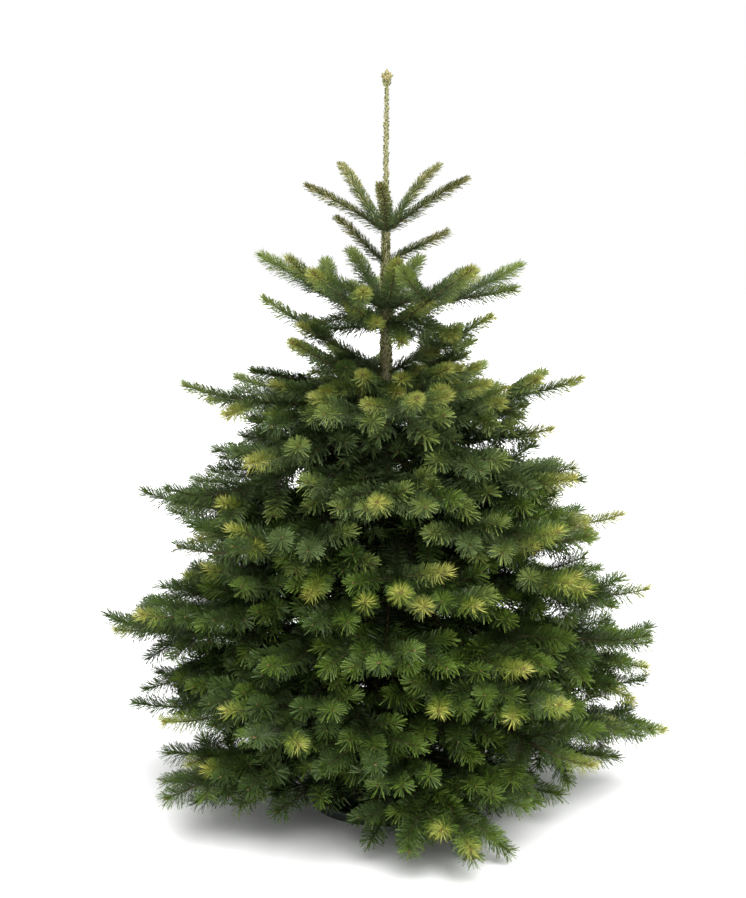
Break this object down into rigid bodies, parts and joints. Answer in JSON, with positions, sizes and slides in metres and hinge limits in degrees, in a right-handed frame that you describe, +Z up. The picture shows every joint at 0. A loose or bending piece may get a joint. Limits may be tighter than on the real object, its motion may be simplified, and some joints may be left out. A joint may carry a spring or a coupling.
{
  "type": "christmas tree",
  "caption": "Cut fir Christmas tree without decorations, full on every side, clamped in a plain dark moulded stand.",
  "frame": {"origin": "centre of the flat underside of the stand, on the floor", "axes": "+Z up along the trunk; -Y towards the side that the reference view shows, +X to that view's right"},
  "size_m": [1.2954, 1.1316, 1.643],
  "materials": {
    "needles": "glossy green fir needles, yellower at the tips",
    "bark": "thin grey-brown bark, greener towards the tip",
    "stand_plastic": "dark green-black moulded plastic, satin",
    "screw_steel": "zinc-plated steel clamp screws"
  },
  "bodies": {
    "root": {"stand_foot": "stand_plastic", "clamp_screw_1": "screw_steel", "clamp_screw_2": "screw_steel", "clamp_screw_3": "screw_steel", "clamp_screw_4": "screw_steel", "trunk": "bark", "foliage_1_1": "needles", "foliage_1_2": "needles", "foliage_1_3": "needles", "foliage_1_4": "needles", "foliage_1_5": "needles", "foliage_2_1": "needles", "foliage_2_2": "needles", "foliage_3_1": "needles", "foliage_3_2": "needles", "foliage_3_3": "needles", "foliage_3_4": "needles", "foliage_3_5": "needles", "foliage_4_1": "needles", "foliage_4_2": "needles", "foliage_5_1": "needles", "foliage_5_2": "needles", "foliage_5_3": "needles", "foliage_5_4": "needles", "foliage_5_5": "needles", "foliage_6_1": "needles", "foliage_6_2": "needles", "foliage_6_3": "needles", "foliage_6_4": "needles", "foliage_6_5": "needles", "bough_7_1": "bark", "foliage_7_1": "needles", "bough_7_2": "bark", "foliage_7_2": "needles", "bough_7_3": "bark", "foliage_7_3": "needles", "bough_7_4": "bark", "foliage_7_4": "needles", "bough_7_5": "bark", "foliage_7_5": "needles", "bough_8_1": "bark", "foliage_8_1": "needles", "bough_8_2": "bark", "foliage_8_2": "needles", "bough_8_3": "bark", "foliage_8_3": "needles", "bough_8_4": "bark", "foliage_8_4": "needles", "bough_8_5": "bark", "foliage_8_5": "needles", "bough_9_1": "bark", "foliage_9_1": "needles", "bough_9_2": "bark", "foliage_9_2": "needles", "bough_9_3": "bark", "foliage_9_3": "needles", "bough_9_4": "bark", "foliage_9_4": "needles", "bough_9_5": "bark", "foliage_9_5": "needles"}
  },
  "joints": []
}
